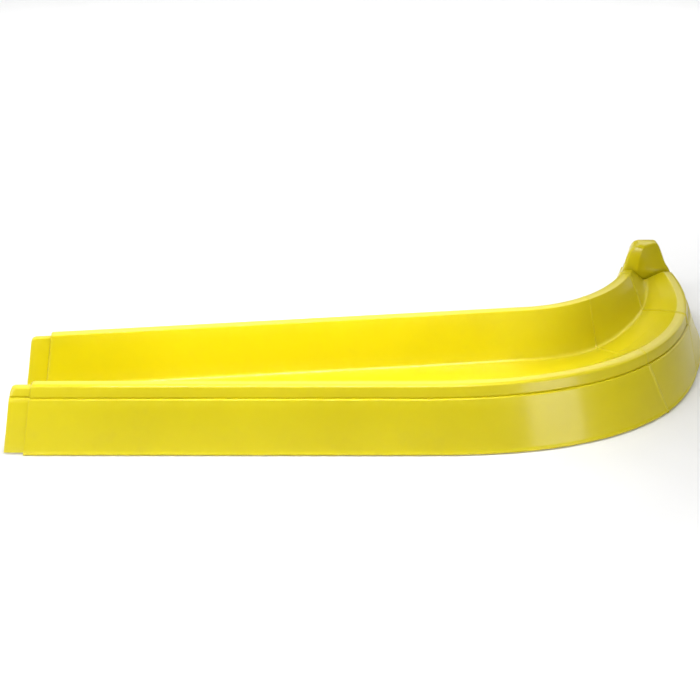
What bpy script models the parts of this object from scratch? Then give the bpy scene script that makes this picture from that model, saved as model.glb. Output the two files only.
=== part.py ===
"""Wave slide: a moulded trough slide in three bolted sections.

The straight trough lies along +X, its spigot end at -X. At the other end both side rails
turn towards +Y, the bed banks and rises, and a raised nose closes the end. Metres, +Z up.
"""
import math

import bmesh
import bpy
import numpy as np
from mathutils import Matrix, Vector

# Frame: the rail curves are drawn from the near rail's line, then moved onto the origin.
SHIFT_X = -0.11742
SHIFT_Y = -0.508

# Heights above the ground
RIM_Z = 0.280
LEDGE_Z = 0.228
GAP = 0.0004
SEAM_GAP = 0.0024

# Mould wall thicknesses
SKIN = 0.006
PLATE = 0.008

# Rail curves in plan, through the inner edge of each rim
START_X = -1.272
FAR_START_Y = 0.372
FAR_SLOPE = math.atan(0.1111)
NEAR_BEND_X = 0.240
NEAR_BEND_A = 1.252
NEAR_BEND_B = 1.000
NEAR_BEND_POWER = 2.5
NEAR_RETURN = 0.037
NEAR_RETURN_Y = 0.550
FAR_BEND_X = 0.780
FAR_BEND_R = 0.660
FAR_BEND_TURN = math.radians(84)
RAIL_END_Y = 1.182
RAIL_STEP = 0.002

# Rim, ledge and outer wall, measured outwards from the rail curve
CREST_OUT = 0.032
SHOULDER_OUT = 0.038
SKIRT_OUT = 0.050
LEDGE_OUT = 0.060
FOOT_OUT = 0.124
TOP_FLANGE = 0.044
FOOT_FLANGE = 0.030

# Spigot that plugs into the section above
SPIGOT_OUT = 0.080
SPIGOT_IN = 0.080
SPIGOT_FIT = 0.0034
SPIGOT_RIM_DROP = 0.012

# How far the open end leans back over its height, as a slope
END_RAKE = 0.16

# Raised nose
NOSE_FRONT_Y = 1.000
NOSE_BACK_Y = 1.140
NOSE_TOP_Z = 0.392
NOSE_RIDGE_SHARE = 0.32

# Bolted joints between the sections
BOLT_D = 0.008
BOLT_HOLE_D = 0.0095
HEAD_D = 0.014
HEAD_H = 0.005
NUT_D = 0.015
NUT_H = 0.0065
WASHER_D = 0.018
WASHER_H = 0.0016
BOLTS_PER_JOINT = 3

# Stations: distance along the near rail and along the far rail, then for each side
# how far the bed's crease lies in from the rim, and how high it is. The last number is how
# far out the near side's foot lies.
STATIONS = {
    "spigot_tip": (-SPIGOT_OUT, -SPIGOT_OUT, 0.052, 0.056, 0.052, 0.056, FOOT_OUT),
    "body_start": (0.000, 0.000, 0.052, 0.056, 0.052, 0.056, FOOT_OUT),
    "bend_start": (1.512, 1.520, 0.056, 0.056, 0.056, 0.056, FOOT_OUT),
    "seam_1": (2.533, 2.373, 0.116, 0.090, 0.180, 0.160, 0.138),
    "seam_2": (2.932, 2.716, 0.140, 0.160, 0.124, 0.228, FOOT_OUT),
    "bed_end": (3.336, 2.756, 0.062, 0.232, 0.045, 0.258, 0.172),
    "nose_back": (3.480, 2.903, 0.062, 0.232, 0.045, 0.258, 0.2065),
}

YELLOW = (0.80, 0.66, 0.010, 1.0)
DARK = (0.060, 0.060, 0.055, 1.0)
STEEL = (0.55, 0.56, 0.58, 1.0)


def clear_scene():
    for obj in list(bpy.data.objects):
        bpy.data.objects.remove(obj, do_unlink=True)


def material(name, color, roughness, metallic=0.0):
    made = bpy.data.materials.new(name)
    made.use_nodes = True
    shader = made.node_tree.nodes["Principled BSDF"]
    shader.inputs["Base Color"].default_value = color
    shader.inputs["Roughness"].default_value = roughness
    shader.inputs["Metallic"].default_value = metallic
    return made


class Rail:
    """A rim's plan curve, read by distance along it. Distances under zero run back in a straight line."""

    def __init__(self, points, side):
        self.points = np.array(points)
        steps = np.linalg.norm(np.diff(self.points, axis=0), axis=1)
        self.along = np.concatenate([[0.0], np.cumsum(steps)])
        self.side = side

    def at(self, distance):
        ends = (0.0, self.along[-1] - RAIL_STEP)
        held = min(max(distance, ends[0]), ends[1])
        here = self.read(held)
        ahead = self.read(held + RAIL_STEP)
        heading = (ahead - here) / np.linalg.norm(ahead - here)
        outward = np.array([heading[1], -heading[0]]) * self.side
        return here + heading * (distance - held), outward

    def read(self, distance):
        return np.array([np.interp(distance, self.along, self.points[:, k]) for k in (0, 1)])


def near_rail():
    """A straight, then a quarter of a superellipse, which past NEAR_RETURN_Y closes in on the far rail."""
    points = [(x, 0.0) for x in np.arange(START_X, NEAR_BEND_X, 0.02)]
    for angle in np.linspace(0.0, math.pi / 2, 160):
        across = math.sin(angle) ** (2 / NEAR_BEND_POWER)
        up = 1 - math.cos(angle) ** (2 / NEAR_BEND_POWER)
        points.append((NEAR_BEND_X + NEAR_BEND_A * across, NEAR_BEND_B * up))
    for y in np.linspace(NEAR_BEND_B, RAIL_END_Y, 14)[1:]:
        points.append((NEAR_BEND_X + NEAR_BEND_A, y))
    closing = [max(y - NEAR_RETURN_Y, 0.0) / (NEAR_BEND_B - NEAR_RETURN_Y) for _, y in points]
    return Rail([(x - NEAR_RETURN * c**2, y) for (x, y), c in zip(points, closing)], side=1)


def far_rail():
    bend_y = FAR_START_Y + math.tan(FAR_SLOPE) * (FAR_BEND_X - START_X)
    centre_x = FAR_BEND_X - FAR_BEND_R * math.sin(FAR_SLOPE)
    centre_y = bend_y + FAR_BEND_R * math.cos(FAR_SLOPE)
    points = [(START_X, FAR_START_Y)]
    for heading in np.linspace(FAR_SLOPE, FAR_BEND_TURN, 80):
        x = centre_x + FAR_BEND_R * math.sin(heading)
        points.append((x, centre_y - FAR_BEND_R * math.cos(heading)))
    return Rail(points, side=-1)


NEAR = near_rail()
FAR = far_rail()


def smooth(t):
    return t * t * (3 - 2 * t)


def station(first, last, t, squared=False):
    """Where the section lies at t, from 0 at the first named station to 1 at the last.

    A squared stretch ends with both sides facing straight out along X."""
    a, b = STATIONS[first], STATIONS[last]
    near_at, far_at = (a[k] + (b[k] - a[k]) * t for k in (0, 1))
    eased = smooth(t) if first == "bend_start" else t
    far_in, far_z, near_in, near_z, near_foot = (a[k] + (b[k] - a[k]) * eased for k in range(2, 7))
    near, near_out = NEAR.at(near_at)
    far, far_out = FAR.at(far_at)
    chord = (near - far) / np.linalg.norm(near - far)
    if squared:
        near_out = near_out * (1 - t) + np.array([1.0, 0.0]) * t
        far_out = far_out * (1 - t) + np.array([-1.0, 0.0]) * t
        near_out /= np.linalg.norm(near_out)
        far_out /= np.linalg.norm(far_out)
    return {
        "near": near,
        "far": far,
        "rake": END_RAKE * min(max(1 - near_at / STATIONS["bend_start"][0], 0.0), 1.0),
        "near_out": near_out,
        "far_out": far_out,
        "chord": chord,
        "far_crease": (far_in, far_z),
        "near_crease": (near_in, near_z),
        "near_foot": near_foot,
    }


def placed(plan, z):
    return (plan[0] + SHIFT_X, plan[1] + SHIFT_Y, z)


def raked(points, rake):
    """Leans a section, so that its foot lies further back than its rim."""
    return [(x - rake * (RIM_Z - z), y, z) for x, y, z in points]


def rim_points(edge, outward):
    """From the ledge up the rim's outer face and over its crest to its inner edge."""
    spots = [
        (SKIRT_OUT, LEDGE_Z + GAP),
        (SKIRT_OUT, LEDGE_Z + 0.008),
        (SHOULDER_OUT, RIM_Z - 0.008),
        (CREST_OUT, RIM_Z - 0.002),
        (0.006, RIM_Z),
        (-0.003, RIM_Z - 0.006),
    ]
    return [placed(edge + outward * out, z) for out, z in spots]


def bed_points(s):
    """Down the near wall, across the bed and up to the far rim, with a short facet at each crease."""
    near_in, near_z = s["near_crease"]
    far_in, far_z = s["far_crease"]
    corner = 0.25
    wide = float(np.dot(s["near"] - s["far"], s["chord"]))
    bed = wide - near_in - far_in
    rise = near_z - far_z
    ease = min(0.05, bed * 0.2)
    spots = [
        (wide - near_in * (1 - corner), near_z + (RIM_Z - near_z) * corner),
        (wide - near_in - ease * 0.25, near_z + 0.004),
        (wide - near_in - ease, near_z - rise * ease / bed),
        (wide / 2 - near_in / 2 + far_in / 2, (near_z + far_z) / 2),
        (far_in + ease, far_z + rise * ease / bed),
        (far_in + ease * 0.25, far_z + 0.004),
        (far_in * (1 - corner), far_z + (RIM_Z - far_z) * corner),
    ]
    return [placed(s["far"] + s["chord"] * along, z) for along, z in spots]


def liner_section(s):
    return rim_points(s["near"], s["near_out"]) + bed_points(s) + rim_points(s["far"], s["far_out"])[::-1]


def spigot_section(s):
    """The liner's section made smaller all round, so that it slides under the rims and the bed."""
    inset = SKIN + SPIGOT_FIT
    top = RIM_Z - SPIGOT_RIM_DROP
    spots = [
        (SKIRT_OUT - inset, LEDGE_Z + GAP),
        (SKIRT_OUT - inset, LEDGE_Z + 0.008),
        (SHOULDER_OUT - inset, top - 0.006),
        (CREST_OUT - inset, top),
        (inset / 2, top),
    ]
    lower = dict(s)
    sides = []
    for side in ("near", "far"):
        edge, outward = s[side], s[f"{side}_out"]
        sides.append([placed(edge + outward * out, z) for out, z in spots])
        crease_in, crease_z = s[f"{side}_crease"]
        lower[side] = edge + outward * inset
        lower[f"{side}_crease"] = (crease_in, crease_z - inset)
    return sides[0] + bed_points(lower) + sides[1][::-1]


def panel_section(edge, outward, foot):
    """From the inner edge of the top flange, round the ledge and down to the foot flange."""
    spots = [
        (LEDGE_OUT - TOP_FLANGE, LEDGE_Z),
        (LEDGE_OUT - 0.005, LEDGE_Z),
        (LEDGE_OUT, LEDGE_Z - 0.005),
        (foot, 0.011),
        (foot - 0.010, 0.0),
        (foot - FOOT_FLANGE, 0.0),
    ]
    return [placed(edge + outward * out, z) for out, z in spots]


def near_panel_section(s):
    return panel_section(s["near"], s["near_out"], s["near_foot"])[::-1]


def far_panel_section(s):
    return panel_section(s["far"], s["far_out"], FOOT_OUT)


def wall_section(edge, outward):
    """Only the flat of the outer wall, clear of both flanges."""
    top, foot = (LEDGE_OUT, LEDGE_Z - 0.005), (FOOT_OUT, 0.011)
    spots = []
    for z in (LEDGE_Z - 0.016, 0.026):
        down = (top[1] - z) / (top[1] - foot[1])
        spots.append((top[0] + (foot[0] - top[0]) * down, z))
    return [placed(edge + outward * out, z) for out, z in spots]


def near_wall_section(s):
    return wall_section(s["near"], s["near_out"])[::-1]


def far_wall_section(s):
    return wall_section(s["far"], s["far_out"])


def new_object(name, mesh, finish, smooth_faces=False):
    obj = bpy.data.objects.new(name, mesh)
    bpy.context.collection.objects.link(obj)
    mesh.materials.append(finish)
    if smooth_faces:
        mesh.shade_smooth()
    return obj


def lofted_skin(name, stations, section, finish, thickness=SKIN, sunk=0.0):
    """A sheet through the same section at each station, thickened inwards. sunk moves it in by that much."""
    work = bmesh.new()
    rows = [[work.verts.new(point) for point in raked(section(s), s["rake"])] for s in stations]
    for row, following in zip(rows[:-1], rows[1:]):
        for k in range(len(row) - 1):
            work.faces.new((row[k], following[k], following[k + 1], row[k + 1]))
    mesh = bpy.data.meshes.new(name)
    work.normal_update()
    work.to_mesh(mesh)
    work.free()
    obj = new_object(name, mesh, finish)
    shell = obj.modifiers.new("Shell", "SOLIDIFY")
    shell.thickness = thickness
    shell.offset = -1 - 2 * sunk / thickness
    shell.use_even_offset = True
    shell.use_quality_normals = True
    return obj


def spread(first, last, count, start=0.0, end=1.0, squared=False):
    return [station(first, last, t, squared) for t in np.linspace(start, end, count)]


def trimmed(first, last, count, squared=False):
    """Stations that stop short of both ends by half a seam's gap, so that neighbours don't overlap."""
    length = STATIONS[last][0] - STATIONS[first][0]
    short = SEAM_GAP / 2 / length
    return spread(first, last, count, short, 1 - short, squared)


def build_sections(yellow):
    length = STATIONS["seam_1"][0] - STATIONS["bend_start"][0]
    main = spread("body_start", "bend_start", 4)[:-1]
    main += spread("bend_start", "seam_1", 13, 0.0, 1 - SEAM_GAP / 2 / length)
    bend = trimmed("seam_1", "seam_2", 8)
    liners = {"main": main, "bend": bend, "nose": trimmed("seam_2", "bed_end", 8, squared=True)}
    for name, stations in liners.items():
        lofted_skin(f"{name}_chute_liner", stations, liner_section, yellow)
    end = trimmed("seam_2", "bed_end", 8) + spread("bed_end", "nose_back", 5, squared=True)[1:]
    panels = {"main": main, "bend": bend, "nose": end}
    for name, stations in panels.items():
        lofted_skin(f"{name}_near_side_panel", stations, near_panel_section, yellow)
        lofted_skin(f"{name}_far_side_panel", stations, far_panel_section, yellow)


def build_spigot(yellow):
    inside = SPIGOT_IN / STATIONS["bend_start"][0]
    stations = spread("spigot_tip", "body_start", 2)
    stations += spread("body_start", "bend_start", 2, 0, inside)[1:]
    lofted_skin("spigot_liner", stations, spigot_section, yellow)
    for name, section in (("near", near_wall_section), ("far", far_wall_section)):
        lofted_skin(f"spigot_{name}_plate", stations, section, yellow, SKIN, SKIN + SPIGOT_FIT)


def rounded_outline(corners, z):
    """A plan outline with each (x, y, radius) corner rounded by four short sides.

    A corner that is nearly straight keeps its four sides, over a stretch of least_reach each way."""
    least_reach = 0.004
    points = []
    spots = [Vector(corner[:2]) for corner in corners]
    for k, spot in enumerate(spots):
        back = (spots[k - 1] - spot).normalized()
        ahead = (spots[(k + 1) % len(spots)] - spot).normalized()
        reach = max(corners[k][2] / math.tan(back.angle(ahead) / 2), least_reach)
        start, end = spot + back * reach, spot + ahead * reach
        for t in np.linspace(0, 1, 5):
            here = start.lerp(spot, t).lerp(spot.lerp(end, t), t)
            points.append(placed(here, z))
    return points


def nose_corners(share, far_side, near_side, front, back, far_turned, near_turned, radius, ridge_radius):
    """The hood's plan at one height. Its sides follow the rails by share.

    Its front is two faces that meet at a ridge, each turned back towards its own side."""
    first, last = STATIONS["bed_end"], STATIONS["nose_back"]
    far, near = FAR.at(first[1])[0][0], NEAR.at(first[0])[0][0]
    far_lean = (FAR.at(last[1])[0][0] - far) * share
    near_lean = (NEAR.at(last[0])[0][0] - near) * share
    face = NOSE_FRONT_Y + SEAM_GAP + GAP + front
    front_far, front_near = far - far_side, near + near_side
    ridge_x = front_far + (front_near - front_far) * NOSE_RIDGE_SHARE
    return [
        (front_near + near_lean, NOSE_BACK_Y - back, radius),
        (front_far + far_lean, NOSE_BACK_Y - back, radius),
        (front_far, face + far_turned, radius),
        (ridge_x, face, ridge_radius),
        (front_near, face + near_turned, radius),
    ]


def build_nose_cap(yellow):
    """The hood that stands on the side panels' ledges and closes the end of the bed."""
    top = NOSE_TOP_Z
    # Height, share of the rails' lean, out from the far and near rails, set back at front and back,
    # how far the front's far and near sides are turned back, corner radius, ridge radius
    levels = [
        (LEDGE_Z + GAP, 1.0, SKIRT_OUT, SKIRT_OUT, 0.0, 0.0, 0.0, 0.0, 0.008, 0.008),
        (LEDGE_Z + 0.010, 1.0, SKIRT_OUT, SKIRT_OUT, 0.0, 0.0, 0.0, 0.0, 0.008, 0.008),
        (RIM_Z - 0.006, 1.0, 0.038, 0.038, 0.0, 0.006, 0.006, 0.006, 0.016, 0.008),
        (RIM_Z + 0.016, 0.9, 0.033, 0.020, 0.0, 0.012, 0.016, 0.024, 0.018, 0.008),
        (top - 0.046, 0.6, 0.016, 0.000, 0.002, 0.020, 0.026, 0.046, 0.018, 0.008),
        (top - 0.022, 0.35, -0.002, -0.012, 0.008, 0.028, 0.026, 0.048, 0.016, 0.008),
        (top - 0.007, 0.15, -0.022, -0.024, 0.018, 0.040, 0.016, 0.036, 0.013, 0.008),
        (top, 0.0, -0.040, -0.041, 0.032, 0.054, 0.006, 0.022, 0.008, 0.006),
    ]
    work = bmesh.new()
    rings = []
    for z, *plan in levels:
        outline = rounded_outline(nose_corners(*plan), z)
        rings.append([work.verts.new(point) for point in outline])
    for ring, above in zip(rings[:-1], rings[1:]):
        for k in range(len(ring)):
            after = (k + 1) % len(ring)
            work.faces.new((ring[k], ring[after], above[after], above[k]))
    work.faces.new(rings[-1])
    mesh = bpy.data.meshes.new("nose_cap")
    work.normal_update()
    work.to_mesh(mesh)
    work.free()
    obj = new_object("nose_cap", mesh, yellow)
    shell = obj.modifiers.new("Shell", "SOLIDIFY")
    shell.thickness = SKIN
    shell.offset = -1
    shell.use_even_offset = True
    return obj


def plate(name, outline, origin, across, thickness, finish):
    """A flat plate: outline is (distance along across, height), origin its zero, thickened both ways."""
    along = Vector((-across[1], across[0], 0.0))
    work = bmesh.new()
    for side in (-0.5, 0.5):
        for u, z in outline:
            spot = Vector(placed(origin + across * u, z)) + along * thickness * side
            work.verts.new(spot)
    work.verts.ensure_lookup_table()
    count = len(outline)
    work.faces.new([work.verts[k] for k in range(count)])
    work.faces.new([work.verts[count + k] for k in range(count)][::-1])
    for k in range(count):
        after = (k + 1) % count
        corners = (after, k, count + k, count + after)
        work.faces.new([work.verts[corner] for corner in corners])
    bmesh.ops.recalc_face_normals(work, faces=work.faces)
    mesh = bpy.data.meshes.new(name)
    work.to_mesh(mesh)
    work.free()
    return new_object(name, mesh, finish)


def rib_outline(s, clear=0.007):
    """Under the bed and up both side walls, clear of the skins and of the panels' flanges."""
    wide = float(np.dot(s["near"] - s["far"], s["chord"]))
    far_in, far_z = s["far_crease"]
    low = SKIN + clear
    top = LEDGE_Z - SKIN - clear
    foot = FOOT_OUT - SKIN - clear - 0.004
    shoulder = LEDGE_OUT - SKIN - clear
    bed = far_z - SKIN - clear
    inner = SKIN + clear
    half = [
        (-foot, low),
        (-shoulder, top),
        (far_in * (RIM_Z - top) / (RIM_Z - far_z) - inner, top),
        (far_in - inner, far_z + 0.010),
        (far_in + 0.004, bed),
    ]
    return half + [(wide - u, z) for u, z in half[::-1]]


def build_ribs(dark):
    for k, t in enumerate((0.12, 0.40, 0.68, 0.96)):
        s = station("body_start", "bend_start", t)
        plate(f"cross_rib_{k + 1}", rib_outline(s), s["far"], s["chord"], PLATE, dark)


def joint_outline(s, clear=0.020):
    wide = float(np.dot(s["near"] - s["far"], s["chord"]))
    far_in, far_z = s["far_crease"]
    near_in, near_z = s["near_crease"]
    low = 0.0
    return [
        (far_in * 0.75, low),
        (far_in * 0.9, far_z - clear),
        (wide - near_in, near_z - clear - 0.004),
        (wide - near_in * 0.7, near_z - clear - 0.004),
        (wide - near_in * 0.5, low),
    ]


def cylinder(name, diameter, depth, segments, matrix, finish):
    work = bmesh.new()
    radius = diameter / 2
    bmesh.ops.create_cone(
        work, cap_ends=True, segments=segments, radius1=radius, radius2=radius, depth=depth, matrix=matrix
    )
    mesh = bpy.data.meshes.new(name)
    work.to_mesh(mesh)
    work.free()
    return new_object(name, mesh, finish)


def turned(name, profile, segments, matrix, finish):
    """A profile of (radius, height) points turned round the local Z axis."""
    work = bmesh.new()
    spots = [work.verts.new((radius, 0.0, height)) for radius, height in profile]
    for a, b in zip(spots[:-1], spots[1:]):
        work.edges.new((a, b))
    mesh = bpy.data.meshes.new(name)
    work.to_mesh(mesh)
    work.free()
    obj = new_object(name, mesh, finish)
    screw = obj.modifiers.new("Turn", "SCREW")
    screw.steps = segments
    screw.render_steps = segments
    screw.use_merge_vertices = True
    screw.merge_threshold = 0.00005
    screw.use_normal_calculate = True
    obj.matrix_world = matrix
    return obj


def ring_profile(outer, inner, low, high):
    return [(outer, high), (outer, low), (inner, low), (inner, high), (outer, high)]


def build_joint(number, name, cutters, dark, steel):
    """Two plates face to face under a seam, with a bolt, washers and a nut through each hole."""
    s = station(name, "seam_2" if name == "seam_1" else "bed_end", 0.0)
    outline = joint_outline(s)
    along = np.array([-s["chord"][1], s["chord"][0]])
    step = PLATE / 2 + GAP / 2
    plates = []
    for label, side in (("a", -1), ("b", 1)):
        origin = s["far"] + along * step * side
        plates.append(plate(f"joint_{number}_plate_{label}", outline, origin, s["chord"], PLATE, dark))
    first, last = outline[0][0] + 0.030, outline[-1][0] - 0.045
    axis = Vector((along[0], along[1], 0.0))
    turn = axis.to_track_quat("Z", "Y").to_matrix().to_4x4()
    face = PLATE + GAP / 2
    for k, u in enumerate(np.linspace(first, last, BOLTS_PER_JOINT)):
        centre = Vector(placed(s["far"] + s["chord"] * u, 0.030))
        there = Matrix.Translation(centre) @ turn
        hole = cylinder(f"joint_{number}_hole_{k + 1}", BOLT_HOLE_D, 0.06, 20, there, dark)
        for collection in hole.users_collection:
            collection.objects.unlink(hole)
        cutters.objects.link(hole)
        hole.hide_render = True
        hole.display_type = "WIRE"
        for item in plates:
            cut = item.modifiers.new(f"Hole {k + 1}", "BOOLEAN")
            cut.operation = "DIFFERENCE"
            cut.solver = "EXACT"
            cut.object = hole
        tag = f"joint_{number}_{{}}_{k + 1}"
        under = -face - GAP
        seat = under - WASHER_H - GAP
        over = face + GAP
        top = over + WASHER_H + GAP
        radius = BOLT_D / 2
        bolt = [
            (0.0, top + NUT_H + 0.004),
            (radius, top + NUT_H + 0.004),
            (radius, seat),
            (HEAD_D / 2, seat),
            (HEAD_D / 2, seat - HEAD_H * 0.5),
            (HEAD_D * 0.36, seat - HEAD_H),
            (0.0, seat - HEAD_H),
        ]
        turned(tag.format("bolt"), bolt, 16, there, steel)
        bore = radius + 0.0004
        low_washer = ring_profile(WASHER_D / 2, bore, under - WASHER_H, under)
        high_washer = ring_profile(WASHER_D / 2, bore, over, over + WASHER_H)
        turned(tag.format("head_washer"), low_washer[::-1], 16, there, steel)
        turned(tag.format("nut_washer"), high_washer[::-1], 16, there, steel)
        nut = ring_profile(NUT_D / 2, bore / math.cos(math.pi / 6), top, top + NUT_H)
        turned(tag.format("nut"), nut[::-1], 6, there, steel)


def build_end_panel(yellow):
    """Closes the back of the hollow end, between the two side panels and under the nose cap."""
    s = station("bed_end", "nose_back", 1.0, squared=True)
    wide = s["near"][0] - s["far"][0]
    inset = SKIN + 0.002
    outline = [
        (-(FOOT_OUT - inset - 0.006), SKIN + 0.002),
        (wide + s["near_foot"] - inset - 0.006, SKIN + 0.002),
        (wide + LEDGE_OUT - inset, LEDGE_Z - SKIN - 0.002),
        (-(LEDGE_OUT - inset), LEDGE_Z - SKIN - 0.002),
    ]
    origin = np.array([s["far"][0], NOSE_BACK_Y - 0.012])
    plate("end_panel", outline, origin, np.array([1.0, 0.0]), SKIN, yellow)


def main():
    clear_scene()
    yellow = material("yellow_moulding", YELLOW, 0.35)
    dark = material("dark_rib", DARK, 0.6)
    steel = material("zinc_steel", STEEL, 0.35, 1.0)
    cutters = bpy.data.collections.new("Cutters")
    bpy.context.scene.collection.children.link(cutters)
    build_sections(yellow)
    build_spigot(yellow)
    build_nose_cap(yellow)
    build_end_panel(yellow)
    build_ribs(dark)
    build_joint(1, "seam_1", cutters, dark, steel)
    build_joint(2, "seam_2", cutters, dark, steel)


main()
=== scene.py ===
# The looks of a wave slide: a moulded trough slide in three bolted sections, in yellow polyethylene.
#
# The rails, seams and heights repeat the CAD's, and every yellow moulding but the end panel is rebuilt
# here as a fine shell with rolled rims, lips and seam beads. The end panel, ribs, joint plates and
# fasteners keep the CAD's shapes. Lengths are in metres.

import math

import bmesh
import bpy
import numpy as np
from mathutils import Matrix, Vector


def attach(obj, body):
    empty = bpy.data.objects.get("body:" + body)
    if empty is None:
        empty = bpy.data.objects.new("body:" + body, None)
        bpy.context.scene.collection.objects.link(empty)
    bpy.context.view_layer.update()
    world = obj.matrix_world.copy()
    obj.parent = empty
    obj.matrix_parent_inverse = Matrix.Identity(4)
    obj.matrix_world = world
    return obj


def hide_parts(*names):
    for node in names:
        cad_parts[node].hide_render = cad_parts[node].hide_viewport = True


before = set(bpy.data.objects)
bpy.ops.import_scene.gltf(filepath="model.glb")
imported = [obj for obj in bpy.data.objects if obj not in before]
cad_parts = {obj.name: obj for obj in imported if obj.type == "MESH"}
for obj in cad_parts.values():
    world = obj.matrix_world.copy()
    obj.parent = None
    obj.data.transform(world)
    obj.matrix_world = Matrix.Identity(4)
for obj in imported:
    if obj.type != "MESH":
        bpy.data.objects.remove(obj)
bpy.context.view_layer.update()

# Where the rail curves' own origin lies in the row frame
SHIFT = np.array([-0.11742, -0.508])

# Heights of the rim and the ledge, the skin's thickness, and half the gap between two sections
RIM_Z = 0.280
LEDGE_Z = 0.228
SKIN = 0.006
SEAM_HALF_GAP = 0.0006

# The rails in plan: where they start, where each begins to turn, and the shape of its turn
START_X = -1.272
FAR_START_Y = 0.372
FAR_SLOPE = math.atan(0.1111)
NEAR_BEND_X = 0.240
NEAR_BEND_A = 1.252
NEAR_BEND_B = 1.000
NEAR_BEND_POWER = 2.5
NEAR_RETURN = 0.037
NEAR_RETURN_Y = 0.550
FAR_BEND_X = 0.780
FAR_BEND_R = 0.660
FAR_BEND_TURN = math.radians(84)
RAIL_END_Y = 1.182
RAIL_STEP = 0.002
NEAR_BEND_STEPS = 400
FAR_BEND_STEPS = 240
RAIL_END_STEPS = 14

# How far out from the rim's inner edge the section's corners lie
SHOULDER_OUT = 0.039
SKIRT_OUT = 0.050
LEDGE_OUT = 0.060
FOOT_OUT = 0.124

# The spigot: how far it stands out of the section and reaches into it, how much smaller it is than
# the section, and the radius of its top corners. The rake leans the upper end back.
SPIGOT_OUT = 0.080
SPIGOT_IN = 0.070
SPIGOT_INSET = 0.0094
SPIGOT_RIM_DROP = 0.012
SPIGOT_CORNER = 0.022
END_RAKE = 0.16

# The nose in plan and height, and where along its front the ridge stands
NOSE_FRONT_Y = 1.000
NOSE_BACK_Y = 1.140
NOSE_TOP_Z = 0.392
NOSE_RIDGE_SHARE = 0.32
NOSE_LEAST_REACH = 0.004
NOSE_GAP = 0.002

# Distance along the near and far rails, then the far and near creases of the bed, as how far
# in from the rim and how high, and how far out the near side's foot lies
STATIONS = {
    "spigot_tip": (-SPIGOT_OUT, -SPIGOT_OUT, 0.052, 0.056, 0.052, 0.056, FOOT_OUT),
    "body_start": (0.000, 0.000, 0.052, 0.056, 0.052, 0.056, FOOT_OUT),
    "bend_start": (1.512, 1.520, 0.056, 0.056, 0.056, 0.056, FOOT_OUT),
    "seam_1": (2.533, 2.373, 0.116, 0.090, 0.180, 0.160, 0.138),
    "seam_2": (2.932, 2.716, 0.140, 0.160, 0.124, 0.228, FOOT_OUT),
    "bed_end": (3.336, 2.756, 0.062, 0.232, 0.045, 0.258, 0.172),
    "nose_back": (3.480, 2.903, 0.062, 0.232, 0.045, 0.258, 0.2065),
}

# Seam beads: their size, how faint they are on parts of a seam, and how seam 1 leans on the near side
BEAD_HALF_WIDTH = 0.0065
BEAD_HEIGHT = 0.0034
SEAM_1_FAINT = 0.30
SEAM_2_PANEL = 0.35
NEAR_RIM_SHARE = 0.36
FAR_WALL_SHARE = 0.60
SEAM_LEAN = 0.27
SEAM_LEAN_FADE = 0.30

# How far the shells stand over the CAD's rims and ledges, and clear of the floor
SHELL_LIFT = 0.0006
FLOOR_CLEAR = 0.0002

# The radius of the bed's creases, and the widths of a side panel's two flanges
BED_FILLET = 0.022
TOP_FLANGE = 0.040
FOOT_FLANGE = 0.030
CORNER_STEPS = 6
PANEL_CORNER_STEPS = 4

# A lip turns in only where a panel is about upright, and fades out towards the foot
LIP_UPRIGHT = 1.6
LIP_FOOT_Z = 0.020
LIP_FADE_HEIGHT = 0.040
LIP_DEPTH = 0.5

# How sharply the skin has to turn to count as a crest, and how fast the painted highlight on it grows
# with the turn
CREST_LEAST_TURN = 0.03
CREST_HIGHLIGHT_GAIN = 2.2

# How many sections each stretch is lofted through
STRAIGHT_ROWS = 14
TURN_ROWS = 70
BEND_ROWS = 44
NOSE_LINER_ROWS = 40
NOSE_PANEL_ROWS = 30
NOSE_BACK_ROWS = 14
SPIGOT_TIP_SHARE = 0.3
SPIGOT_TIP_ROWS = 9
SPIGOT_INSIDE_ROWS = 4


# ---------------------------------------------------------------- rails and sections

class Rail:
    """A rim's plan curve, read by distance along it. Distances under zero run back in a straight line."""

    def __init__(self, points, side):
        self.points = np.array(points)
        steps = np.linalg.norm(np.diff(self.points, axis=0), axis=1)
        self.along = np.concatenate([[0.0], np.cumsum(steps)])
        self.side = side

    def at(self, distance):
        held = min(max(distance, 0.0), self.along[-1] - RAIL_STEP)
        here, ahead = self.read(held), self.read(held + RAIL_STEP)
        heading = (ahead - here) / np.linalg.norm(ahead - here)
        outward = np.array([heading[1], -heading[0]]) * self.side
        return here + heading * (distance - held), outward

    def read(self, distance):
        return np.array([np.interp(distance, self.along, self.points[:, k]) for k in (0, 1)])


def near_rail():
    """A straight, then a quarter of a superellipse, closing in on the far rail past NEAR_RETURN_Y."""
    points = [(x, 0.0) for x in np.arange(START_X, NEAR_BEND_X, 0.02)]
    for angle in np.linspace(0.0, math.pi / 2, NEAR_BEND_STEPS):
        across = math.sin(angle) ** (2 / NEAR_BEND_POWER)
        up = 1 - math.cos(angle) ** (2 / NEAR_BEND_POWER)
        points.append((NEAR_BEND_X + NEAR_BEND_A * across, NEAR_BEND_B * up))
    for y in np.linspace(NEAR_BEND_B, RAIL_END_Y, RAIL_END_STEPS)[1:]:
        points.append((NEAR_BEND_X + NEAR_BEND_A, y))
    closing = [max(y - NEAR_RETURN_Y, 0.0) / (NEAR_BEND_B - NEAR_RETURN_Y) for _, y in points]
    return Rail([(x - NEAR_RETURN * c**2, y) for (x, y), c in zip(points, closing)], side=1)


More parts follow.
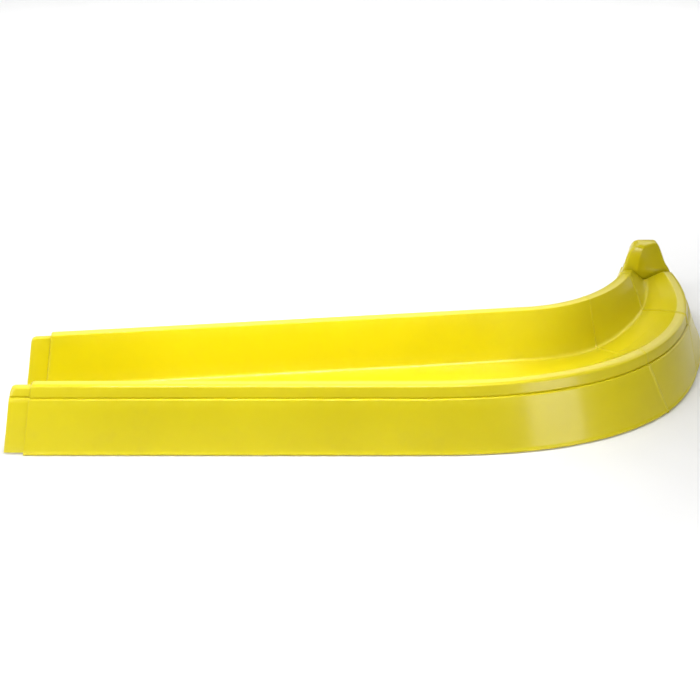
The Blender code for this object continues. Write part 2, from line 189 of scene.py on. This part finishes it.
def far_rail():
    bend_y = FAR_START_Y + math.tan(FAR_SLOPE) * (FAR_BEND_X - START_X)
    centre_x = FAR_BEND_X - FAR_BEND_R * math.sin(FAR_SLOPE)
    centre_y = bend_y + FAR_BEND_R * math.cos(FAR_SLOPE)
    points = [(START_X, FAR_START_Y)]
    for heading in np.linspace(FAR_SLOPE, FAR_BEND_TURN, FAR_BEND_STEPS):
        x = centre_x + FAR_BEND_R * math.sin(heading)
        points.append((x, centre_y - FAR_BEND_R * math.cos(heading)))
    return Rail(points, side=-1)


NEAR = near_rail()
FAR = far_rail()


def smooth(t):
    return t * t * (3 - 2 * t)


def leaning(near_at):
    """How much of SEAM_LEAN the near panel's sections take: all of it round seam 1, none far from it."""
    away = abs(near_at - STATIONS["seam_1"][0])
    return smooth(max(0.0, 1 - away / SEAM_LEAN_FADE))


def station(first, last, t, squared=False):
    """Where the section lies at t, from 0 at the first named station to 1 at the last."""
    a, b = STATIONS[first], STATIONS[last]
    near_at, far_at = (a[k] + (b[k] - a[k]) * t for k in (0, 1))
    eased = smooth(t) if first == "bend_start" else t
    far_in, far_z, near_in, near_z, near_foot = (a[k] + (b[k] - a[k]) * eased for k in range(2, 7))
    near, near_out = NEAR.at(near_at)
    far, far_out = FAR.at(far_at)
    if squared:
        near_out = near_out * (1 - t) + np.array([1.0, 0.0]) * t
        far_out = far_out * (1 - t) + np.array([-1.0, 0.0]) * t
        near_out /= np.linalg.norm(near_out)
        far_out /= np.linalg.norm(far_out)
    return {
        "near": near,
        "far": far,
        "rake": END_RAKE * min(max(1 - near_at / STATIONS["bend_start"][0], 0.0), 1.0),
        "near_out": near_out,
        "far_out": far_out,
        "chord": (near - far) / np.linalg.norm(near - far),
        "far_crease": (far_in, far_z),
        "near_crease": (near_in, near_z),
        "near_foot": near_foot,
        "near_at": near_at,
        "leaning": leaning(near_at),
    }


def placed(plan, z):
    return np.array([plan[0] + SHIFT[0], plan[1] + SHIFT[1], z])


def filleted(line, cuts, steps=CORNER_STEPS):
    """A line through (point, radius) corners. A corner with a radius becomes a curve of steps + 1 points.

    cuts says into how many pieces each straight between two corners is cut, so that a shell bends
    evenly and all its sections have the same number of points."""
    points = [point for point, _ in line]
    ends = [[points[0]]]
    for back, (point, radius), ahead in zip(points[:-2], line[1:-1], points[2:]):
        if radius == 0:
            ends.append([point])
            continue
        to_back, to_ahead = back - point, ahead - point
        back_length, ahead_length = np.linalg.norm(to_back), np.linalg.norm(to_ahead)
        cosine = float(np.dot(to_back, to_ahead) / (back_length * ahead_length))
        half = math.acos(max(-1.0, min(1.0, cosine))) / 2
        reach = min(radius / math.tan(half), back_length * 0.48, ahead_length * 0.48)
        start, end = point + to_back / back_length * reach, point + to_ahead / ahead_length * reach
        shares = np.linspace(0, 1, steps + 1)
        ends.append([(1 - t) ** 2 * start + 2 * t * (1 - t) * point + t * t * end for t in shares])
    ends.append([points[-1]])
    out = list(ends[0])
    for before, after, count in zip(ends[:-1], ends[1:], cuts):
        out += [before[-1] + (after[0] - before[-1]) * k / count for k in range(1, count)]
        out += after
    return out


def raked(points, rake):
    return [np.array([p[0] - rake * (RIM_Z - p[2]), p[1], p[2]]) for p in points]


def rim_line(edge, outward):
    """Control points of the rim, from the ledge up its outer face and over the crest, with radii."""
    spots = [
        (SKIRT_OUT, LEDGE_Z + SHELL_LIFT, 0.0),
        (SKIRT_OUT, LEDGE_Z + 0.008, 0.004),
        (SHOULDER_OUT, RIM_Z - 0.0035, 0.009),
        (SHOULDER_OUT - 0.014, RIM_Z + SHELL_LIFT, 0.020),
        (-0.003, RIM_Z + SHELL_LIFT, 0.007),
    ]
    return [(placed(edge + outward * out, z), radius) for out, z, radius in spots]


def spigot_rim_line(edge, outward):
    top = RIM_Z - SPIGOT_RIM_DROP
    inset = SPIGOT_INSET
    spots = [
        (SKIRT_OUT - inset - 0.003, LEDGE_Z - 0.012, 0.0),
        (SKIRT_OUT - inset, LEDGE_Z + 0.008, 0.003),
        (SHOULDER_OUT - inset, top - 0.003, 0.009),
        (inset / 2 - 0.001, top, 0.007),
    ]
    return [(placed(edge + outward * out, z), radius) for out, z, radius in spots]


def bed_line(s, inset=0.0):
    """The bed's two creases as control points."""
    near = s["near"] + s["near_out"] * inset
    far = s["far"] + s["far_out"] * inset
    wide = float(np.dot(near - far, s["chord"]))
    near_in, near_z = s["near_crease"]
    far_in, far_z = s["far_crease"]
    return [
        (placed(far + s["chord"] * (wide - near_in), near_z - inset), BED_FILLET),
        (placed(far + s["chord"] * far_in, far_z - inset), BED_FILLET),
    ]


def liner_line(s):
    line = rim_line(s["near"], s["near_out"]) + bed_line(s) + rim_line(s["far"], s["far_out"])[::-1]
    return raked(filleted(line, [1, 1, 1, 1, 4, 5, 4, 1, 1, 1, 1]), s["rake"])


def spigot_line(s):
    near = spigot_rim_line(s["near"], s["near_out"])
    far = spigot_rim_line(s["far"], s["far_out"])
    line = near + bed_line(s, SPIGOT_INSET) + far[::-1]
    points = filleted(line, [1, 1, 1, 4, 5, 4, 1, 1, 1])
    for point in points:
        point[2] -= s["drop"] * max(0.0, (point[2] - LEDGE_Z) / (RIM_Z - LEDGE_Z))
    return raked(points, s["rake"])


def panel_line(edge, outward, foot, rake):
    """A side panel: top flange, ledge, outer wall, and a rolled lip over the foot flange."""
    spots = [
        (LEDGE_OUT - TOP_FLANGE, LEDGE_Z, 0.0),
        (LEDGE_OUT, LEDGE_Z, 0.0035),
        (foot - 0.005, 0.0215, 0.010),
        (foot + 0.0015, 0.0130, 0.006),
        (foot + 0.0015, 0.0060, 0.004),
        (foot - 0.006, 0.0003, 0.005),
        (foot - FOOT_FLANGE, 0.0003, 0.0),
    ]
    line = [(placed(edge + outward * out, z), radius) for out, z, radius in spots]
    return raked(filleted(line, [2, 5, 1, 1, 1, 2], PANEL_CORNER_STEPS), rake)


def near_panel_line(s):
    points = panel_line(s["near"], s["near_out"], s["near_foot"], s["rake"])[::-1]
    lean = SEAM_LEAN * s["leaning"]
    if lean == 0:
        return points
    turned = []
    for point in points:
        depth = LEDGE_Z - point[2]
        here, here_out = NEAR.at(s["near_at"] + lean * depth)
        offset = np.dot(point[:2] - SHIFT - s["near"], s["near_out"])
        turned.append(placed(here + here_out * offset, point[2]))
    return turned


def far_panel_line(s):
    return panel_line(s["far"], s["far_out"], FOOT_OUT, s["rake"])


def plate_line(edge, outward, rake, inset):
    """The spigot's own flat side plate, with a rolled edge at its top and foot."""
    top_out, top_z = LEDGE_OUT - inset, LEDGE_Z + 0.001
    low_out, low_z = FOOT_OUT - inset, 0.010
    slope = (low_out - top_out) / (top_z - low_z)
    spots = [
        (top_out - 0.014, top_z, 0.0),
        (top_out, top_z, 0.006),
        (top_out + slope * 0.016 + 0.003, top_z - 0.016, 0.004),
        (low_out, low_z, 0.006),
        (low_out - 0.010, low_z - 0.002, 0.0),
    ]
    line = [(placed(edge + outward * out, z), radius) for out, z, radius in spots]
    return raked(filleted(line, [1, 1, 5, 1], PANEL_CORNER_STEPS), rake)


def near_plate_line(s):
    return plate_line(s["near"], s["near_out"], s["rake"], SPIGOT_INSET)[::-1]


def far_plate_line(s):
    return plate_line(s["far"], s["far_out"], s["rake"], SPIGOT_INSET)


# ---------------------------------------------------------------- shells

def strength(line, k, count, near_at):
    """How high a seam's bead stands on this part of a section, as a share of BEAD_HEIGHT."""
    first_seam = near_at < (STATIONS["seam_1"][0] + STATIONS["seam_2"][0]) / 2
    if line is liner_line:
        across = k / (count - 1)
        if not first_seam:
            return 1.0
        return SEAM_1_FAINT if across < NEAR_RIM_SHARE or across > FAR_WALL_SHARE else 1.0
    return 1.0 if first_seam else SEAM_2_PANEL


def beads(first, last, starts, ends):
    """Shares of a stretch at which a seam bead rises, and its height there."""
    length = STATIONS[last][0] - STATIONS[first][0]
    rise = [(BEAD_HALF_WIDTH + 0.003, 0.0), (BEAD_HALF_WIDTH, 0.0), (BEAD_HALF_WIDTH * 0.72, 0.7),
            (BEAD_HALF_WIDTH * 0.38, 1.0), (SEAM_HALF_GAP + 0.0008, 0.9), (SEAM_HALF_GAP, 0.55)]
    found = []
    if starts:
        found += [(back / length, height) for back, height in rise[::-1]]
    if ends:
        found += [(1 - back / length, height) for back, height in rise]
    return found


def lip_share(z, upright):
    """A panel's open end turns in on its wall only, and not at its foot or on its flanges."""
    above_foot = min(max((z - LIP_FOOT_Z) / LIP_FADE_HEIGHT, 0.0), 1.0)
    return max(0.0, 1 - abs(upright) * LIP_UPRIGHT) * above_foot * LIP_DEPTH


def lofted(name, line, rows, cad_node, thickness=SKIN):
    """A shell through a row of sections. rows holds (station, height).

    A height over 0 lifts the skin outwards as a seam bead, and one under 0 turns it in as a lip."""
    work = bmesh.new()
    crest = work.verts.layers.float.new("painted_crest_highlight")
    grid = []
    for s, height in rows:
        points = line(s)
        grid.append([work.verts.new(p) for p in points])
    for row, following in zip(grid[:-1], grid[1:]):
        for k in range(len(row) - 1):
            work.faces.new((row[k], following[k], following[k + 1], row[k + 1]))
    work.normal_update()
    # Painted highlight: each point gets a value that lightens its colour, growing with how sharply the
    # skin turns at a crest and with a seam bead's height.
    for row, (s, height) in zip(grid, rows):
        for k, vert in enumerate(row):
            share = strength(line, k, len(row), s["near_at"])
            before, after = row[max(k - 1, 0)].co, row[min(k + 1, len(row) - 1)].co
            turn = (vert.co - before).angle(after - vert.co, 0.0) if 0 < k < len(row) - 1 else 0.0
            painted_highlight = min(1.0, turn * CREST_HIGHLIGHT_GAIN) if turn > CREST_LEAST_TURN else 0.0
            vert[crest] = max(painted_highlight, height * share)
    normals = {vert: vert.normal.copy() for row in grid for vert in row}
    for row, (s, height) in zip(grid, rows):
        for k, vert in enumerate(row):
            if height > 0:
                share = strength(line, k, len(row), s["near_at"])
            else:
                share = 1.0 if line is liner_line else lip_share(vert.co.z, normals[vert].z)
            vert.co += normals[vert] * height * BEAD_HEIGHT * share
            vert.co.z = max(vert.co.z, FLOOR_CLEAR)
    mesh = bpy.data.meshes.new(name)
    work.to_mesh(mesh)
    work.free()
    mesh.shade_smooth()
    return finished(name, mesh, cad_node, thickness)


def finished(name, mesh, cad_node, thickness):
    obj = bpy.data.objects.new(name, mesh)
    bpy.context.scene.collection.objects.link(obj)
    shell = obj.modifiers.new("Shell", "SOLIDIFY")
    shell.thickness = thickness
    shell.offset = -1
    shell.use_even_offset = True
    mesh.materials.append(YELLOW)
    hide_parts(cad_node)
    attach(obj, "root")
    return obj


def section_rows(first, last, count, starts=False, ends=False, squared=False):
    marks = {round(float(t), 7): 0.0 for t in np.linspace(0, 1, count)}
    length = STATIONS[last][0] - STATIONS[first][0]
    clear = (BEAD_HALF_WIDTH + 0.004) / length
    if starts:
        marks = {t: h for t, h in marks.items() if t > clear}
    if ends:
        marks = {t: h for t, h in marks.items() if t < 1 - clear}
    for t, height in beads(first, last, starts, ends):
        marks[round(t, 7)] = height
    return [(station(first, last, t, squared), marks[t]) for t in sorted(marks)]


def lip_rows():
    """The main section's open end: its edge is rounded over towards the spigot."""
    length = STATIONS["bend_start"][0]
    rise = [(0.0, -2.4), (0.0012, -1.5), (0.003, -0.75), (0.006, -0.2), (0.010, 0.0), (0.024, 0.0)]
    return [(station("body_start", "bend_start", back / length), height) for back, height in rise]


def build_sections():
    straight = lip_rows() + section_rows("body_start", "bend_start", STRAIGHT_ROWS)[1:-1]
    main = straight + section_rows("bend_start", "seam_1", TURN_ROWS, ends=True)
    bend = section_rows("seam_1", "seam_2", BEND_ROWS, starts=True, ends=True)
    nose = section_rows("seam_2", "bed_end", NOSE_LINER_ROWS, starts=True, squared=True)
    end = section_rows("seam_2", "bed_end", NOSE_PANEL_ROWS, starts=True)
    end += section_rows("bed_end", "nose_back", NOSE_BACK_ROWS, squared=True)[1:]
    for name, liner, panel in (("main", main, main), ("bend", bend, bend), ("nose", nose, end)):
        lofted(f"{name}_liner_skin", liner_line, liner, f"{name}_chute_liner")
        for side, line in (("near", near_panel_line), ("far", far_panel_line)):
            node = f"{name}_{side}_side_panel"
            lofted(f"{name}_{side}_panel_skin", line, panel, node)


def build_spigot():
    inside = SPIGOT_IN / STATIONS["bend_start"][0]
    rows = []
    for t in list(np.linspace(0.0, SPIGOT_TIP_SHARE, SPIGOT_TIP_ROWS)) + [0.5, 0.75, 1.0]:
        s = station("spigot_tip", "body_start", t)
        short_of_corner = max(0.0, 1 - t * SPIGOT_OUT / SPIGOT_CORNER)
        s["drop"] = SPIGOT_CORNER * (1 - math.sqrt(1 - short_of_corner**2))
        rows.append((s, 0.0))
    for t in np.linspace(inside / SPIGOT_INSIDE_ROWS, inside, SPIGOT_INSIDE_ROWS):
        rows.append(({**station("body_start", "bend_start", t), "drop": 0.0}, 0.0))
    lofted("spigot_liner_skin", spigot_line, rows, "spigot_liner")
    lofted("spigot_near_plate_skin", near_plate_line, rows, "spigot_near_plate")
    lofted("spigot_far_plate_skin", far_plate_line, rows, "spigot_far_plate")


# ---------------------------------------------------------------- nose

# Height, share of the rails' lean, out from the far and near rails, set back at front and back,
# how far the front's far and near sides are turned back, corner radius, ridge radius
NOSE_LEVELS = [
    (LEDGE_Z + SHELL_LIFT, 1.0, SKIRT_OUT, SKIRT_OUT, 0.0, 0.0, 0.0, 0.0, 0.008, 0.008),
    (LEDGE_Z + 0.010, 1.0, SKIRT_OUT, SKIRT_OUT, 0.0, 0.0, 0.0, 0.0, 0.008, 0.008),
    (LEDGE_Z + 0.026, 1.0, 0.045, 0.045, 0.0, 0.003, 0.002, 0.002, 0.012, 0.008),
    (RIM_Z - 0.006, 1.0, 0.038, 0.038, 0.0, 0.006, 0.006, 0.006, 0.016, 0.008),
    (RIM_Z + 0.004, 0.96, 0.036, 0.030, 0.0, 0.009, 0.011, 0.014, 0.017, 0.008),
    (RIM_Z + 0.016, 0.9, 0.033, 0.020, 0.0, 0.012, 0.016, 0.024, 0.018, 0.007),
    (NOSE_TOP_Z - 0.066, 0.75, 0.025, 0.009, 0.001, 0.016, 0.022, 0.036, 0.018, 0.007),
    (NOSE_TOP_Z - 0.046, 0.6, 0.016, 0.000, 0.002, 0.020, 0.026, 0.046, 0.018, 0.007),
    (NOSE_TOP_Z - 0.033, 0.48, 0.008, -0.006, 0.004, 0.024, 0.027, 0.048, 0.017, 0.007),
    (NOSE_TOP_Z - 0.022, 0.35, -0.002, -0.012, 0.008, 0.028, 0.026, 0.048, 0.016, 0.008),
    (NOSE_TOP_Z - 0.013, 0.24, -0.011, -0.018, 0.012, 0.034, 0.022, 0.043, 0.015, 0.008),
    (NOSE_TOP_Z - 0.007, 0.15, -0.022, -0.024, 0.018, 0.040, 0.016, 0.036, 0.013, 0.008),
    (NOSE_TOP_Z - 0.0025, 0.07, -0.031, -0.032, 0.025, 0.047, 0.011, 0.029, 0.010, 0.007),
    (NOSE_TOP_Z, 0.0, -0.040, -0.041, 0.032, 0.054, 0.006, 0.022, 0.008, 0.006),
]


def nose_corners(share, far_side, near_side, front, back, far_turned, near_turned, radius, ridge_radius):
    """The hood's plan at one height: four corners, and the ridge that parts its front into two faces."""
    first, last = STATIONS["bed_end"], STATIONS["nose_back"]
    far, near = FAR.at(first[1])[0][0], NEAR.at(first[0])[0][0]
    far_lean = (FAR.at(last[1])[0][0] - far) * share
    near_lean = (NEAR.at(last[0])[0][0] - near) * share
    face = NOSE_FRONT_Y + NOSE_GAP + front
    front_far, front_near = far - far_side, near + near_side
    ridge_x = front_far + (front_near - front_far) * NOSE_RIDGE_SHARE
    return [
        (front_near + near_lean, NOSE_BACK_Y - back, radius),
        (front_far + far_lean, NOSE_BACK_Y - back, radius),
        (front_far, face + far_turned, radius),
        (ridge_x, face, ridge_radius),
        (front_near, face + near_turned, radius),
    ]


def outline(corners, z, steps=8, across=5):
    """A closed plan outline with rounded corners and a few points along each side."""
    spots = [np.array(corner[:2]) for corner in corners]
    curves = []
    for k, spot in enumerate(spots):
        back, ahead = spots[k - 1] - spot, spots[(k + 1) % len(spots)] - spot
        back, ahead = back / np.linalg.norm(back), ahead / np.linalg.norm(ahead)
        angle = math.acos(max(-1.0, float(np.dot(back, ahead))))
        reach = max(corners[k][2] / math.tan(angle / 2), NOSE_LEAST_REACH)
        start, end = spot + back * reach, spot + ahead * reach
        shares = np.linspace(0, 1, steps + 1)
        curves.append([(1 - t) ** 2 * start + 2 * t * (1 - t) * spot + t * t * end for t in shares])
    points = []
    for k, curve in enumerate(curves):
        points += curve
        following = curves[(k + 1) % len(curves)][0]
        points += [curve[-1] + (following - curve[-1]) * j / across for j in range(1, across)]
    return [placed(point, z) for point in points]


def build_nose():
    work = bmesh.new()
    # The painted highlight layer, left at zero on the nose.
    work.verts.layers.float.new("painted_crest_highlight")
    rings = []
    for z, *plan in NOSE_LEVELS:
        rings.append([work.verts.new(point) for point in outline(nose_corners(*plan), z)])
    for ring, above in zip(rings[:-1], rings[1:]):
        for k in range(len(ring)):
            after = (k + 1) % len(ring)
            work.faces.new((ring[k], ring[after], above[after], above[k]))
    centre = sum((vert.co for vert in rings[-1]), Vector()) / len(rings[-1])
    peak = work.verts.new(centre + Vector((0, 0, 0.0008)))
    for k in range(len(rings[-1])):
        work.faces.new((rings[-1][k], rings[-1][(k + 1) % len(rings[-1])], peak))
    mesh = bpy.data.meshes.new("nose_cap_skin")
    work.normal_update()
    work.to_mesh(mesh)
    work.free()
    mesh.shade_smooth()
    obj = finished("nose_cap_skin", mesh, "nose_cap", SKIN)
    fine = obj.modifiers.new("Fine", "SUBSURF")
    fine.levels = 1
    fine.render_levels = 1
    obj.modifiers.move(1, 0)


# ---------------------------------------------------------------- materials

class Nodes:
    """A material's node tree, with a short way to add and join nodes."""

    def __init__(self, name):
        self.material = bpy.data.materials.new(name)
        self.material.use_nodes = True
        self.tree = self.material.node_tree
        self.shader = self.tree.nodes["Principled BSDF"]

    def add(self, kind, **settings):
        node = self.tree.nodes.new(kind)
        for key, value in settings.items():
            if hasattr(node, key):
                setattr(node, key, value)
            else:
                node.inputs[key].default_value = value
        return node

    def join(self, source, target):
        self.tree.links.new(source, target)

    def ramp(self, source, *stops):
        node = self.add("ShaderNodeValToRGB")
        elements = node.color_ramp.elements
        while len(elements) < len(stops):
            elements.new(0.5)
        for element, (place, color) in zip(elements, stops):
            element.position = place
            element.color = (*color, 1.0)
        self.join(source, node.inputs["Fac"])
        return node.outputs["Color"]

    def mix(self, factor, a, b, blend="MIX"):
        node = self.add("ShaderNodeMix", data_type="RGBA", blend_type=blend)
        for socket, value in ((node.inputs[0], factor), (node.inputs[6], a), (node.inputs[7], b)):
            if isinstance(value, bpy.types.NodeSocket):
                self.join(value, socket)
            elif isinstance(value, float):
                socket.default_value = value
            else:
                socket.default_value = (*value, 1.0)
        return node.outputs[2]

    def noise(self, coordinates, scale, detail=2.0, roughness=0.5):
        node = self.add("ShaderNodeTexNoise", Scale=scale, Detail=detail, Roughness=roughness)
        self.join(coordinates, node.inputs["Vector"])
        return node.outputs["Fac"]


def grey(value):
    return (value, value, value)


# Linear colours of the yellow skin: its two body shades, its flecks, the pale yellow of the painted
# highlight on crests and seam beads, and its grime
YELLOW_DEEP = (0.560, 0.468, 0.003)
YELLOW_FULL = (0.600, 0.505, 0.004)
YELLOW_FLECK = (0.76, 0.67, 0.06)
YELLOW_HIGHLIGHT = (0.80, 0.72, 0.10)
YELLOW_GRIME = (0.40, 0.32, 0.03)


def moulded_yellow():
    """Rotationally moulded polyethylene: uneven colour, orange peel, fine scuffs, and a painted highlight
    that lightens crests and seam beads.
    """
    m = Nodes("yellow_polyethylene")
    place = m.add("ShaderNodeTexCoord").outputs["Object"]
    patches = m.ramp(m.noise(place, 3.0, 3.0), (0.30, YELLOW_DEEP), (0.72, YELLOW_FULL))
    flecks = m.ramp(m.noise(place, 420.0, 2.0), (0.62, grey(0.0)), (0.78, grey(1.0)))
    color = m.mix(m.mix(0.14, grey(0.0), flecks), patches, YELLOW_FLECK)
    # Painted highlight: crests and seam beads are lightened towards a pale yellow by the per-point value,
    # broken up by noise.
    painted_highlight = m.add("ShaderNodeAttribute", attribute_name="painted_crest_highlight").outputs["Fac"]
    broken = m.ramp(m.noise(place, 38.0, 4.0), (0.32, grey(0.35)), (0.66, grey(1.0)))
    highlight_mask = m.mix(1.0, painted_highlight, broken, "MULTIPLY")
    color = m.mix(m.mix(0.40, grey(0.0), highlight_mask), color, YELLOW_HIGHLIGHT)
    grime = m.ramp(m.noise(place, 9.0, 6.0, 0.62), (0.58, grey(0.0)), (0.80, grey(0.16)))
    color = m.mix(grime, color, YELLOW_GRIME)
    m.join(color, m.shader.inputs["Base Color"])
    scuffs = m.add("ShaderNodeMapping")
    scuffs.inputs["Scale"].default_value = (14.0, 60.0, 60.0)
    m.join(place, scuffs.inputs["Vector"])
    streaks = m.noise(scuffs.outputs["Vector"], 1.0, 3.0, 0.6)
    rough = m.ramp(streaks, (0.35, grey(0.30)), (0.75, grey(0.35)))
    m.join(rough, m.shader.inputs["Roughness"])
    peel = m.noise(place, 260.0, 2.0)
    waves = m.noise(place, 11.0, 1.0)
    fine = m.add("ShaderNodeBump", Strength=0.10, Distance=0.0006)
    m.join(peel, fine.inputs["Height"])
    broad = m.add("ShaderNodeBump", Strength=0.25, Distance=0.0012)
    m.join(waves, broad.inputs["Height"])
    m.join(fine.outputs["Normal"], broad.inputs["Normal"])
    m.join(broad.outputs["Normal"], m.shader.inputs["Normal"])
    m.shader.inputs["Specular IOR Level"].default_value = 0.22
    m.shader.inputs["IOR"].default_value = 1.5
    m.shader.inputs["Coat Weight"].default_value = 0.28
    m.shader.inputs["Coat Roughness"].default_value = 0.15
    m.shader.inputs["Subsurface Weight"].default_value = 0.08
    m.shader.inputs["Subsurface Radius"].default_value = (0.02, 0.012, 0.002)
    m.shader.inputs["Subsurface Scale"].default_value = 0.4
    return m.material


def recycled_black():
    """Sawn recycled polyethylene plate: matt black with grey flecks and saw marks."""
    m = Nodes("recycled_black")
    place = m.add("ShaderNodeTexCoord").outputs["Object"]
    black, fleck = (0.022, 0.022, 0.021), (0.10, 0.10, 0.095)
    flecks = m.ramp(m.noise(place, 300.0, 3.0), (0.60, black), (0.72, fleck))
    patches = m.ramp(m.noise(place, 12.0, 3.0), (0.3, grey(0.8)), (0.7, grey(1.15)))
    m.join(m.mix(1.0, flecks, patches, "MULTIPLY"), m.shader.inputs["Base Color"])
    rough = m.ramp(m.noise(place, 40.0), (0.3, grey(0.55)), (0.7, grey(0.78)))
    m.join(rough, m.shader.inputs["Roughness"])
    saw = m.add("ShaderNodeTexWave", Scale=55.0, Distortion=2.0)
    m.join(place, saw.inputs["Vector"])
    bump = m.add("ShaderNodeBump", Strength=0.2, Distance=0.0005)
    m.join(saw.outputs["Fac"], bump.inputs["Height"])
    m.join(bump.outputs["Normal"], m.shader.inputs["Normal"])
    return m.material


def zinc_plate():
    """Bright zinc plating with a faint spangle and a little dulling."""
    m = Nodes("zinc_plate")
    place = m.add("ShaderNodeTexCoord").outputs["Object"]
    dull, bright = (0.50, 0.51, 0.53), (0.66, 0.67, 0.68)
    spangle = m.ramp(m.noise(place, 500.0, 2.0), (0.3, dull), (0.7, bright))
    m.join(spangle, m.shader.inputs["Base Color"])
    rough = m.ramp(m.noise(place, 180.0, 3.0), (0.3, grey(0.24)), (0.7, grey(0.42)))
    m.join(rough, m.shader.inputs["Roughness"])
    bump = m.add("ShaderNodeBump", Strength=0.12, Distance=0.0003)
    m.join(m.noise(place, 900.0), bump.inputs["Height"])
    m.join(bump.outputs["Normal"], m.shader.inputs["Normal"])
    m.shader.inputs["Metallic"].default_value = 1.0
    return m.material


def dress_cad_nodes():
    """The end panel, ribs, joint plates and fasteners keep the CAD's shapes and get these materials."""
    black, zinc = recycled_black(), zinc_plate()
    for name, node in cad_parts.items():
        if node.hide_render:
            continue
        if any(word in name for word in ("bolt", "washer", "nut")):
            finish = zinc
        elif "rib" in name or "joint" in name:
            finish = black
        else:
            finish = YELLOW
        node.data.materials.clear()
        node.data.materials.append(finish)


# ---------------------------------------------------------------- studio

WORLD_STRENGTH = 0.15
KEY_STRENGTH = 0.38
KEY_ANGLE = math.radians(24.0)
KEY_FROM = (-0.46, -0.62, 0.64)
FLOOR_REACH = 14.0
LENS = 66.857
SENSOR_WIDTH = 36.0
CAMERA_PLACE = (SHIFT[0], -4.9493, 2.9874)
CAMERA_TILT = math.radians(60.0)

# Name, size, power in watts, where it hangs, what it faces, and its beam's full angle in degrees
AREA_LIGHTS = [
    ("overhead_strip", (2.1, 0.26), 24.0, (-0.38, -0.49, 1.65), (-0.38, -0.04, 0.15), 108.0),
    ("left_fill", (0.8, 0.8), 16.0, (-2.3, -1.6, 0.9), (-1.45, -0.6, 0.1), 180.0),
    ("front_strip", (0.80, 0.75), 11.0, (1.75, -1.97, 0.385), (0.68, -0.5, 0.385), 180.0),
    ("right_strip", (0.80, 0.75), 4.0, (3.08, 1.30, 0.385), (1.50, 0.10, 0.385), 180.0),
    ("background", (11.0, 5.0), 400.0, (0.0, 4.0, 3.2), (0.0, 4.0, 0.0), 180.0),
    ("foreground", (6.0, 1.6), 36.0, (0.0, -2.4, 1.6), (0.0, -2.4, 0.0), 110.0),
]


def area_light(name, size, power, location, target, spread):
    data = bpy.data.lights.new(name, "AREA")
    data.shape = "RECTANGLE"
    data.size, data.size_y = size
    data.energy = power
    data.spread = math.radians(spread)
    light = bpy.data.objects.new(name, data)
    light.location = location
    aim = Vector(target) - Vector(location)
    light.rotation_euler = aim.to_track_quat("-Z", "Y").to_euler()
    light.visible_camera = False
    bpy.context.scene.collection.objects.link(light)


def build_floor():
    work = bmesh.new()
    bmesh.ops.create_grid(work, x_segments=8, y_segments=8, size=FLOOR_REACH)
    mesh = bpy.data.meshes.new("studio_floor")
    work.to_mesh(mesh)
    work.free()
    floor = bpy.data.objects.new("studio_floor", mesh)
    bpy.context.scene.collection.objects.link(floor)
    m = Nodes("studio_floor")
    place = m.add("ShaderNodeTexCoord").outputs["Object"]
    pale = m.ramp(m.noise(place, 2.0), (0.3, grey(0.84)), (0.7, grey(0.86)))
    m.join(pale, m.shader.inputs["Base Color"])
    m.shader.inputs["Roughness"].default_value = 0.9
    m.shader.inputs["Specular IOR Level"].default_value = 0.1
    mesh.materials.append(m.material)


def build_studio():
    scene = bpy.context.scene
    build_floor()
    world = bpy.data.worlds.new("studio")
    world.use_nodes = True
    background = world.node_tree.nodes["Background"]
    background.inputs["Color"].default_value = (1.0, 1.0, 1.0, 1.0)
    background.inputs["Strength"].default_value = WORLD_STRENGTH
    scene.world = world
    sun = bpy.data.lights.new("key", "SUN")
    sun.energy = KEY_STRENGTH
    sun.angle = KEY_ANGLE
    key = bpy.data.objects.new("key", sun)
    key.rotation_euler = (-Vector(KEY_FROM)).to_track_quat("-Z", "Y").to_euler()
    scene.collection.objects.link(key)
    for light in AREA_LIGHTS:
        area_light(*light)
    camera = bpy.data.cameras.new("camera")
    camera.lens = LENS
    camera.sensor_width = SENSOR_WIDTH
    camera.clip_end = 60.0
    viewer = bpy.data.objects.new("camera", camera)
    viewer.location = CAMERA_PLACE
    viewer.rotation_euler = (CAMERA_TILT, 0.0, 0.0)
    scene.collection.objects.link(viewer)
    scene.camera = viewer
    scene.view_settings.view_transform = "Standard"


YELLOW = moulded_yellow()
build_sections()
build_spigot()
build_nose()
dress_cad_nodes()
build_studio()
